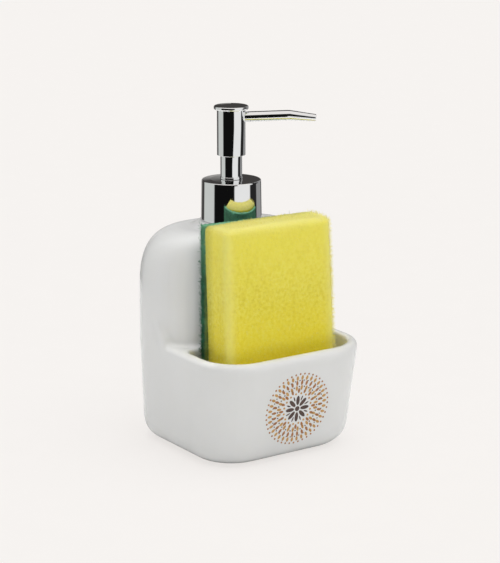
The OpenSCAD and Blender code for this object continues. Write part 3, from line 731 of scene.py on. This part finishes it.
# %% Head sleeve and press disc
head_lo, head_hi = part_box("head_shell")
disc_lo, disc_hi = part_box("head_cap")
head_r = (head_hi.x - head_lo.x) / 2
head_in = head_r - 0.65 * mm
spun_shell("chrome_head_sleeve", [
    (head_in, head_lo.z, 0.3 * mm),
    (head_r, head_lo.z, 0.5 * mm),
    (head_r, head_hi.z, 0.1 * mm),
    (head_in, head_hi.z, 0.1 * mm),
], chrome, "head_shell")
disc_r = (disc_hi.x - disc_lo.x) / 2
disc_foot = head_hi.z
plug_r = head_r - 0.75 * mm
plug_in = head_r - 1.8 * mm
spun_shell("chrome_press_disc", [
    (0.0, disc_foot, 0.0),
    (plug_in, disc_foot, 0.05 * mm),
    (plug_in, disc_lo.z, 0.05 * mm),
    (plug_r, disc_lo.z, 0.05 * mm),
    (plug_r, disc_foot, 0.05 * mm),
    (disc_r, disc_foot, 1.0 * mm),
    (disc_r, disc_hi.z - 0.35 * mm, 1.0 * mm),
    (disc_r * 0.5, disc_hi.z - 0.08 * mm, 4.0 * mm),
    (0.0, disc_hi.z, 0.0),
], chrome, "head_cap")
print("head and disc radii in mm:", round(head_r / mm, 2), round(disc_r / mm, 2))

# %% [markdown]
# The spout is a thin bent tube that narrows to its tip and is cut square there. It could be a
# curve with a bevel, but the bend, the taper and the open tip are easier to hold as stations: a
# ring of points starts inside the head, is extruded from station to station along the bend, then
# turned in at the tip and run back as the inner wall.

# %% Stations of the spout
spout_z = head_hi.z - 4.6 * mm
spout_turn = math.radians(-32)
spout_rise = math.radians(1.7)
tip = 48 * mm
bend_at = 32 * mm
bend_r = 14 * mm
bend_down = math.radians(8)
root_r = 2.95 * mm
taper = 0.85 * mm
spout_wall = 0.45 * mm


def spout_station(x, inset):
    tilt = 0.0
    fall = 0.0
    if x > bend_at:
        tilt = min(math.asin(min((x - bend_at) / bend_r, 1)), bend_down)
        fall = bend_r * (1 - math.cos(tilt))
        if tilt >= bend_down:
            fall += (x - bend_at - bend_r * math.sin(bend_down)) * math.tan(bend_down)
    radius = root_r - taper * max(x - bend_at, 0) / (tip - bend_at) - inset
    place = Matrix.Translation(pump_axis + Vector((0, 0, spout_z)))
    place = place @ Matrix.Rotation(spout_turn, 4, "Z") @ Matrix.Rotation(-spout_rise, 4, "Y")
    place = place @ Matrix.Translation((x, 0, -fall))
    place = place @ Matrix.Rotation(math.pi / 2 + tilt, 4, "Y")
    return place @ Matrix.Diagonal((radius, radius, 1, 1))


outside = [3.6, 8, 14, 20, 26, 30, 31.4, 32, 32.5, 33, 33.5, 34, 34.6, 36, 40, 44, 47.7, 47.92]
stations = [(x * mm, 0.0) for x in outside]
stations += [(tip - 0.02 * mm, 0.06 * mm), (tip, 0.14 * mm), (tip, 0.34 * mm)]
stations += [(tip - 0.1 * mm, 0.44 * mm)]
stations += [(x * mm, spout_wall) for x in reversed(outside[:-1])]
print("stations along the spout:", len(stations))

# %% [markdown]
# The spout's underside is hard to reach with the polishing wheel, so the mirror is duller there.
# The finish is a copy of the chrome whose roughness rises where a face looks down.

# %% Duller chrome for the spout
spout_chrome = chrome.copy()
spout_chrome.name = "spout_chrome"
polish = spout_chrome.node_tree.nodes["Principled BSDF"].inputs["Roughness"]
even_polish = polish.links[0].from_socket
facing = add_node(polish, "ShaderNodeNewGeometry").outputs["Normal"]
underside = fade(parts_of(facing)["Z"], -0.35, -0.75, 0.0, 0.30)
wire(reckon("ADD", even_polish, underside), polish)
print("nodes in the spout's chrome:", len(spout_chrome.node_tree.nodes))

# %% Spout
bm = bmesh.new()
made = bmesh.ops.create_circle(bm, segments=48, radius=1.0)
unit = [v.co.copy() for v in made["verts"]]
ring_verts = made["verts"]
ring_edges = bm.edges[:]
first_edges = ring_edges
for x, inset in stations:
    for vert, co in zip(ring_verts, unit):
        vert.co = spout_station(x, inset) @ co
    if (x, inset) == stations[-1]:
        break
    made = bmesh.ops.extrude_edge_only(bm, edges=ring_edges)
    new_verts = new_parts(made, bmesh.types.BMVert)
    ring_edges = new_parts(made, bmesh.types.BMEdge)
    partner = {}
    for vert in ring_verts:
        for edge in vert.link_edges:
            if edge.other_vert(vert) in new_verts:
                partner[vert] = edge.other_vert(vert)
    ring_verts = [partner[v] for v in ring_verts]
bmesh.ops.bridge_loops(bm, edges=first_edges + ring_edges)
smooth_outwards(bm)
spout = piece_from(bm, "chrome_spout", spout_chrome)
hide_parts("spout_tube")
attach(spout, "head")
print("spout faces:", len(spout.data.polygons))

# %% [markdown]
# Inside the shroud and the tank are moulded and turned parts that are only seen when the pump is
# lifted out or sliced open: polypropylene, clear polyethylene, a soft gasket, and steel for the
# spring and the valve ball. Apart from the spring, their shapes are right as packed, so each only
# gets its finish.

# %% Finishes of the working parts
def moulded(name, low, high, roughness, grain):
    finish, shader = start_finish(name, low, roughness)
    coords = mottle(shader, low, high, 90)
    roughen(shader, coords, 400, roughness - 0.06, roughness + 0.08)
    relief(shader, coords, grain, 0.00002, 0.6)
    return finish, shader


white_plastic, shader = moulded(
    "white_polypropylene", (0.86, 0.86, 0.845), (0.90, 0.90, 0.885), 0.38, 900)
let_light_in(shader, 0.15, (1.0, 1.0, 0.9), 0.001)
clear_plastic, shader = moulded(
    "clear_polyethylene", (0.84, 0.86, 0.86), (0.88, 0.90, 0.90), 0.30, 700)
shader.inputs["Transmission Weight"].default_value = 0.55
shader.inputs["IOR"].default_value = 1.5
gasket_rubber, shader = moulded("pale_gasket", (0.70, 0.70, 0.68), (0.77, 0.77, 0.75), 0.62, 1200)
spring_steel, shader = start_finish("drawn_steel_wire", (0.62, 0.63, 0.64), 0.25, 1.0)
coords = mottle(shader, (0.58, 0.59, 0.60), (0.66, 0.67, 0.68), 800)
roughen(shader, coords, 1500, 0.18, 0.34)
ball_steel, shader = start_finish("polished_ball_steel", (0.70, 0.71, 0.72), 0.12, 1.0)
coords = mottle(shader, (0.68, 0.69, 0.70), (0.73, 0.74, 0.75), 600)
roughen(shader, coords, 900, 0.08, 0.16)
by_slot = {
    "white_plastic": white_plastic, "clear_plastic": clear_plastic, "seal_rubber": gasket_rubber,
    "spring_steel": spring_steel, "ball_steel": ball_steel,
}
finished = 0
for part in frame["record"]["subparts"]:
    if part["material_slot"] in by_slot:
        finish = by_slot[part["material_slot"]]
        slots = cad[part["node"]].material_slots
        for slot in slots:
            slot.material = finish
        if not slots:
            cad[part["node"]].data.materials.append(finish)
        finished += 1
print("working parts finished:", finished)

# %% [markdown]
# The return spring is one wire wound round a mandrel, with a close turn at each end so that it
# stands level. A small ring is spun round the pump's axis and rises a little at each step, which
# gives a screw. On the real pump only its top end follows the press.

# %% Return spring
spring_lo, spring_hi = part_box("return_spring")
spring_height = spring_hi.z - spring_lo.z
wire_r = 0.45 * mm
coil_r = (spring_hi.x - spring_lo.x) / 2 - wire_r
end_rise = 1.35 * mm
steps_per_turn = 32
open_turns = 6.5
open_rise = spring_height - 2 * wire_r - 2 * end_rise
bm = bmesh.new()
made = bmesh.ops.create_circle(bm, segments=10, radius=wire_r)
upright = Matrix.Rotation(math.pi / 2, 3, "X")
bmesh.ops.rotate(bm, verts=bm.verts, cent=(0, 0, 0), matrix=upright)
wire_start = pump_axis + Vector((coil_r, 0, spring_lo.z + wire_r))
bmesh.ops.translate(bm, verts=bm.verts, vec=wire_start)
wire_end = made["verts"] + bm.edges[:]
for turns, rise in ((1, end_rise), (open_turns, open_rise), (1, end_rise)):
    steps = round(turns * steps_per_turn)
    made = bmesh.ops.spin(
        bm, geom=wire_end, cent=pump_axis, axis=(0, 0, 1), dvec=(0, 0, rise / steps),
        angle=turns * 2 * math.pi, steps=steps,
    )
    wire_end = made["geom_last"]
bmesh.ops.holes_fill(bm, edges=[edge for edge in bm.edges if edge.is_boundary])
smooth_outwards(bm)
spring = piece_from(bm, "wound_spring", spring_steel)
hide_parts("return_spring")
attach(spring, "pump")
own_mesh(spring)
heights = [vert.co.z for vert in spring.data.vertices]
print("spring from", round(min(heights), 5), "to", round(max(heights), 5))

# %% [markdown]
# The sponge's foam is cut from a big open-cell block, so its edges are only a little rounded, but
# it gives: it stands a little slanted, swells in the middle, and its front is narrower at the top
# right. A cube is sized to the imported foam, its eight corners are placed one by one, its edges get
# a bevel of about 3 mm, and it is wrapped in a grid of about 0.6 mm. The edges at the glue line
# stay sharp.

# %% Blocks with placed corners
def cut_block(name, corners, edge, glued_back=False):
    bm = bmesh.new()
    bmesh.ops.create_cube(bm, size=2.0)
    free = [e for e in bm.edges if not (glued_back and all(v.co.y > 0 for v in e.verts))]
    for vert in bm.verts:
        side = tuple(int(v > 0) for v in vert.co)
        vert.co = Vector(corners[side]) * mm
    bmesh.ops.bevel(
        bm, geom=free, offset=edge, segments=5, profile=0.5, affect="EDGES", material=-1,
    )
    return piece_from(bm, name)


foam_corners = {
    (0, 0, 0): (-37.9, -37.9, 35.1), (1, 0, 0): (34.6, -37.9, 35.1),
    (0, 1, 0): (-36.3, -14.4, 35.1), (1, 1, 0): (33.9, -14.4, 35.1),
    (0, 0, 1): (-39.2, -36.2, 134.2), (1, 0, 1): (30.8, -36.2, 133.6),
    (0, 1, 1): (-37.7, -12.5, 133.0), (1, 1, 1): (34.3, -12.5, 133.1),
}
foam_grid = 0.62 * mm
foam = cut_block("foam_block", foam_corners, 2.9 * mm, glued_back=True)
wrap_in_grid(foam, foam_grid)
relax(foam.data, 3)
print("foam faces:", len(foam.data.polygons))

# %% [markdown]
# The swelling is added point by point: each point's share of the way across, in and up the block
# says how far it is pushed out. How near a point lies to an edge of the block is worked out from
# the same placed corners, for the finish to read.

# %% Swell the foam
foam_points = read_points(foam.data, "co")
low = np.min(list(foam_corners.values()), axis=0) * mm
high = np.max(list(foam_corners.values()), axis=0) * mm
across, inwards, rise = np.clip((foam_points - low) / (high - low), 0, 1).T
swell_up = np.sin(math.pi * rise)
swell_across = np.sin(math.pi * across)
foam_points[:, 1] -= 0.7 * mm * (swell_across * swell_up) * (1 - inwards)
foam_points[:, 0] += 0.7 * mm * swell_up * (across > 0.5) * (across - 0.5) * 2
foam_points[:, 2] += 0.8 * mm * np.sin(math.pi * inwards) * rise ** 8
foam_points[:, 2] += 0.5 * mm * swell_across * rise ** 8
foam_normals = read_points(foam.data, "normal")
low_left, low_right = foam_corners[0, 0, 0], foam_corners[1, 0, 0]
high_left, high_right = foam_corners[0, 0, 1], foam_corners[1, 0, 1]
x, y, z = foam_points.T / mm
from_left = np.abs(x - low_left[0] - (high_left[0] - low_left[0]) * rise)
from_right = np.abs(x - low_right[0] - (high_right[0] - low_right[0]) * rise)
from_front = np.abs(y - low_left[1] - (high_left[1] - low_left[1]) * rise)
from_top = np.abs(high_left[2] + 1.0 - z)
from_sides = [np.minimum(from_left, from_right), from_front, from_top]
near_two = np.sort(from_sides, axis=0)[:2].sum(axis=0)
edge_width = 4.2
edge_near = np.exp(-(near_two / edge_width) ** 2)
print("points near an edge:", int((edge_near > 0.5).sum()))

# %% [markdown]
# Foam is a web of open cells, so its surface is pitted. Every grid point is pressed in where a
# cell opens, with coarser lumps and a fine grain on top. Real dents catch the light at the edges
# and in the outline, where a bump in the material alone would stay smooth.

# %% Press the cells in
cell_scale, lump_scale, grain_scale = 900, 160, 1500
pore_depth = np.empty(len(foam_points))
for i, point in enumerate(foam_points):
    near = noise.voronoi(Vector(point) * cell_scale, distance_metric="DISTANCE")[0]
    cell = min(max((near[1] - near[0]) * 1.6, 0), 1)
    lumps = noise.noise(Vector(point) * lump_scale)
    grain = noise.noise(Vector(point) * grain_scale)
    pore_depth[i] = 0.27 * cell + 0.05 - 0.10 * lumps + 0.11 * grain
foam_points -= foam_normals * (pore_depth * mm)[:, None]
set_points(foam.data, foam_points)
keep_on_mesh(foam, "edge_share", edge_near)
print("deepest pore in mm:", round(float(pore_depth.max()), 2))

# %% [markdown]
# The foam's yellow isn't even. A speckle of cells over broad clouds sets the base tone. Light and
# shade are painted over it: upwards it is painted brighter, as painted light; its up-facing top is
# painted darker and paler, as painted shade against the lamp above; towards its foot it is painted a
# brighter, deeper yellow, as painted light against the tray's shade; its edges carry a pale painted
# highlight; and towards the pad it is painted darker, as painted shade. Each is one fade towards one
# colour, and the light enters the foam a few millimetres.

# %% Foam finish
foam_finish, shader = start_finish("open_cell_foam", (0.86, 0.77, 0.12), 0.85)
shader.inputs["Specular IOR Level"].default_value = 0.15
shader.inputs["Sheen Weight"].default_value = 0.22
shader.inputs["Sheen Roughness"].default_value = 0.45
shader.inputs["Sheen Tint"].default_value = (1.0, 0.98, 0.86, 1)
let_light_in(shader, 0.5, (1.0, 0.85, 0.25), 0.0025)
coords = object_coords(shader)
place = parts_of(coords)
facing = add_node(shader, "ShaderNodeNewGeometry").outputs["Normal"]
upward = parts_of(facing)["Z"]
edge = add_node(shader, "ShaderNodeAttribute", attribute_name="edge_share").outputs["Fac"]
speckle = cloud(coords, 480.0, 4.0)
clouds = cloud(coords, 30.0, 1.0)
yellow = tone_ramp(shared(speckle, clouds, 0.80), [
    (0.34, (0.76, 0.65, 0.055)), (0.50, (0.865, 0.76, 0.088)), (0.66, (0.91, 0.83, 0.15)),
])
# Painted light: the foam's colour is painted brighter upwards.
painted_upper_light = fade(place["Z"], 0.088, 0.126, 0.0, 0.75)
# Painted shade: up-facing faces are painted darker and paler against the lamp above.
painted_top_shade = fade(upward, 0.25, 0.85, 0.0, 0.95)
# Painted light: towards the foot a brighter, deeper yellow against the shade of the tray.
painted_foot_light = fade(place["Z"], 0.095, 0.055, 0.0, 0.85)
# Painted highlight: a pale tone near the block's edges.
painted_edge_highlight = reckon("MULTIPLY", edge, 0.68)
# Painted shade: the foam is painted darker towards its back, next to the pad.
painted_shade_near_pad = fade(place["Y"], -0.0225, -0.0135, 0.0, 0.4)
for colour, share in (
    ((0.97, 0.85, 0.12), painted_upper_light), ((0.70, 0.635, 0.155), painted_top_shade), ((0.98, 0.80, 0.03), painted_foot_light),
    ((0.93, 0.87, 0.28), painted_edge_highlight), ((0.16, 0.20, 0.04), painted_shade_near_pad),
):
    yellow = toward(yellow, colour, share)
wire(yellow, shader.inputs["Base Color"])
pores = add_node(shader, "ShaderNodeTexVoronoi", {"Scale": 1500.0}, feature="F1")
wire(coords, pores.inputs["Vector"])
raise_by(shader, pores.outputs["Distance"], 0.0003, 0.5)
foam.data.materials.append(foam_finish)
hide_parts("sponge_foam")
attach(foam, "sponge")
print("nodes in the foam's finish:", len(foam_finish.node_tree.nodes))


# %% [markdown]
# Where the block was cut, the ends of the foam's struts stand out as a short pale fuzz, which
# softens the outline. Each is a spike with three sides, copied to a face drawn at random and
# leant at random. The right flank is rubbed most, so the last draws put longer ones there.

# %% Cut struts on the foam
def spike(name, length, thick):
    bm = bmesh.new()
    bmesh.ops.create_cone(
        bm, segments=3, radius1=thick / 2, radius2=thick / 5, depth=length, cap_ends=True,
    )
    bmesh.ops.translate(bm, verts=bm.verts, vec=(0, 0, 0.35 * length))
    return mesh_from(bm, name)


def add_copy(bm, mesh, place):
    copied = mesh.copy()
    copied.transform(place)
    bm.from_mesh(copied)
    bpy.data.meshes.remove(copied)


random.seed(11)
struts_anywhere = 7000
struts_on_flank = 5500
short_spikes = [spike("strut_a", 1.0 * mm, 0.14 * mm), spike("strut_b", 1.5 * mm, 0.13 * mm)]
long_spikes = [spike("strut_c", 1.8 * mm, 0.17 * mm), spike("strut_d", 2.8 * mm, 0.18 * mm)]
foam_faces = foam.data.polygons
all_faces = range(len(foam_faces))
flank_faces = [face.index for face in foam_faces if face.normal.x > 0.45]
draws = [(all_faces, short_spikes)] * struts_anywhere + [(flank_faces, long_spikes)] * struts_on_flank
bm = bmesh.new()
for where, kinds in draws:
    face = foam_faces[random.choice(where)]
    lean_out = Vector([random.uniform(-0.9, 0.9) for k in range(3)]) + face.normal
    lean_turn = lean_out.to_track_quat("Z", "Y").to_matrix().to_4x4()
    add_copy(bm, random.choice(kinds), Matrix.Translation(face.center) @ lean_turn)
# The struts' yellow is painted paler than the foam's, as painted light on the thin cut ends.
strut_finish, shader = start_finish("pale_strut", (0.90, 0.83, 0.22), 0.7)
mottle(shader, (0.88, 0.80, 0.14), (0.94, 0.88, 0.32), 300)
struts = piece_from(bm, "foam_struts", strut_finish)
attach(struts, "sponge")
print("struts:", len(draws), "faces:", len(struts.data.polygons))

# %% [markdown]
# The scouring pad is a mat of stiff green fibres bonded at their crossings. It is a second block
# with placed corners behind the foam, wrapped in a grid. Two noises, one stretched along the
# width and one along the height, press it in, which reads as strands that cross.

# %% Pad mat
pad_corners = {
    (0, 0, 0): (-38.6, -14.6, 35.2), (1, 0, 0): (33.4, -14.6, 35.2),
    (0, 1, 0): (-38.6, -9.3, 35.2), (1, 1, 0): (33.4, -9.3, 35.2),
    (0, 0, 1): (-37.2, -12.7, 133.5), (1, 0, 1): (33.4, -12.7, 131.7),
    (0, 1, 1): (-37.2, -7.4, 133.5), (1, 1, 1): (33.4, -7.4, 131.7),
}
pad_grid = 0.7 * mm
pad = cut_block("scouring_mat", pad_corners, 0.6 * mm)
wrap_in_grid(pad, pad_grid)
pad_points = read_points(pad.data, "co")
pad_normals = read_points(pad.data, "normal")
mat_depth = np.empty(len(pad_points))
for i, point in enumerate(pad_points):
    stretched = Vector((point[0] * 520, point[1] * 900, point[2] * 900))
    crossed = Vector((point[0] * 900, point[1] * 900, point[2] * 480))
    mat_depth[i] = 0.30 + 0.42 * noise.noise(stretched) + 0.36 * noise.noise(crossed)
pad_points -= pad_normals * (np.clip(mat_depth, 0.0, 0.8) * mm)[:, None]
set_points(pad.data, pad_points)
print("pad faces:", len(pad.data.polygons))

# %% [markdown]
# The green runs from nearly black between the strands to a lighter green on them: partly the
# fibres' own tones, and partly painted shade in the gaps. Towards the top the mat is painted paler,
# as painted light from above, less so on its back, which faces the tank and stays in shade. Next to
# the foam the yellow glue shows through. The same strands that set the tone also raise the surface.

# %% Pad finish
pad_finish, shader = start_finish("bonded_green_fibre", (0.05, 0.22, 0.11), 0.7)
shader.inputs["Specular IOR Level"].default_value = 0.3
coords = object_coords(shader)
place = parts_of(coords)
strands = cloud(coords, 1100.0, 4.0, 0.7)
patches = cloud(coords, 160.0, 2.0)
# Partly the fibres' own tones and partly painted shade: the darkest stops stand for shade between
# strands.
green = tone_ramp(shared(strands, patches, 0.55), [
    (0.34, (0.008, 0.058, 0.030)), (0.50, (0.022, 0.145, 0.075)), (0.66, (0.07, 0.31, 0.18)),
])
# Painted light: the top of the mat is painted paler green, less on its back.
painted_light_on_top = fade(place["Z"], 0.100, 0.128, 0.0, 0.9)
off_the_back = fade(place["Y"], -0.0084, -0.0096, 0.3, 1.0)
glue_line = fade(place["Y"], -0.0118, -0.0138, 0.0, 0.55)
painted_top_light = reckon("MULTIPLY", painted_light_on_top, off_the_back)
green = toward(green, (0.19, 0.48, 0.29), painted_top_light)
green = toward(green, (0.36, 0.40, 0.07), glue_line)
wire(green, shader.inputs["Base Color"])
raise_by(shader, strands, 0.0006, 0.9)
pad.data.materials.append(pad_finish)
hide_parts("scouring_pad")
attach(pad, "sponge")
print("nodes in the pad's finish:", len(pad_finish.node_tree.nodes))


# %% [markdown]
# Loose fibres, bent a little and laid nearly flat, stand out along the mat, so that its edge
# reads as rough from every side. Each kind is a thin tube with three sides, extruded in three
# steps. The left edge shows most, so the last fibres go there and stand up further. None is laid
# on the face that is glued to the foam.

# %% Bent fibres
def bent_fibre(name, length, thick, bend):
    bm = bmesh.new()
    bmesh.ops.create_circle(bm, cap_ends=True, segments=3, radius=thick / 2)
    sideways = Matrix.Rotation(math.pi / 2, 3, "Y")
    bmesh.ops.rotate(bm, verts=bm.verts, cent=(0, 0, 0), matrix=sideways)
    end_faces = bm.faces[:]
    for k in range(3):
        made = bmesh.ops.extrude_face_region(bm, geom=end_faces)
        verts = new_parts(made, bmesh.types.BMVert)
        if k > 0:
            bmesh.ops.delete(bm, geom=end_faces, context="FACES_ONLY")
        end_faces = new_parts(made, bmesh.types.BMFace)
        bmesh.ops.translate(bm, verts=verts, vec=(length / 3, 0, bend * (k - 1) * length / 3))
    bmesh.ops.recalc_face_normals(bm, faces=bm.faces)
    return mesh_from(bm, name)


random.seed(7)
fibre_kinds = [
    bent_fibre("fibre_a", 2.4 * mm, 0.16 * mm, 0.35),
    bent_fibre("fibre_b", 3.2 * mm, 0.14 * mm, -0.25),
    bent_fibre("fibre_c", 1.8 * mm, 0.20 * mm, 0.55),
]
print("kinds of fibre:", len(fibre_kinds))

# %% Lay the loose fibres
fibres_anywhere = 2200
fibres_wanted = 3600
pad_faces = pad.data.polygons
every_face = range(len(pad_faces))
left_faces = [face.index for face in pad_faces if face.normal.x < -0.5]
bm = bmesh.new()
laid = 0
while laid < fibres_wanted:
    on_left = laid > fibres_anywhere
    face = pad_faces[random.choice(left_faces if on_left else every_face)]
    if face.normal.y < -0.5:
        continue
    out = face.normal.normalized()
    along = out.orthogonal().normalized()
    along.rotate(Matrix.Rotation(random.uniform(0, 2 * math.pi), 3, out))
    lift = random.uniform(0.02, 1.1 if on_left else 0.30)
    along = (along + out * lift).normalized()
    sideways = out.cross(along).normalized()
    up = along.cross(sideways)
    fibre_place = Matrix((along, sideways, up)).transposed().to_4x4()
    fibre_place.translation = face.center - along * 0.8 * mm
    add_copy(bm, random.choice(fibre_kinds), fibre_place)
    laid += 1
fibres = piece_from(bm, "loose_fibres", pad_finish)
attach(fibres, "sponge")
print("fibres laid:", laid, "faces:", len(fibres.data.polygons))
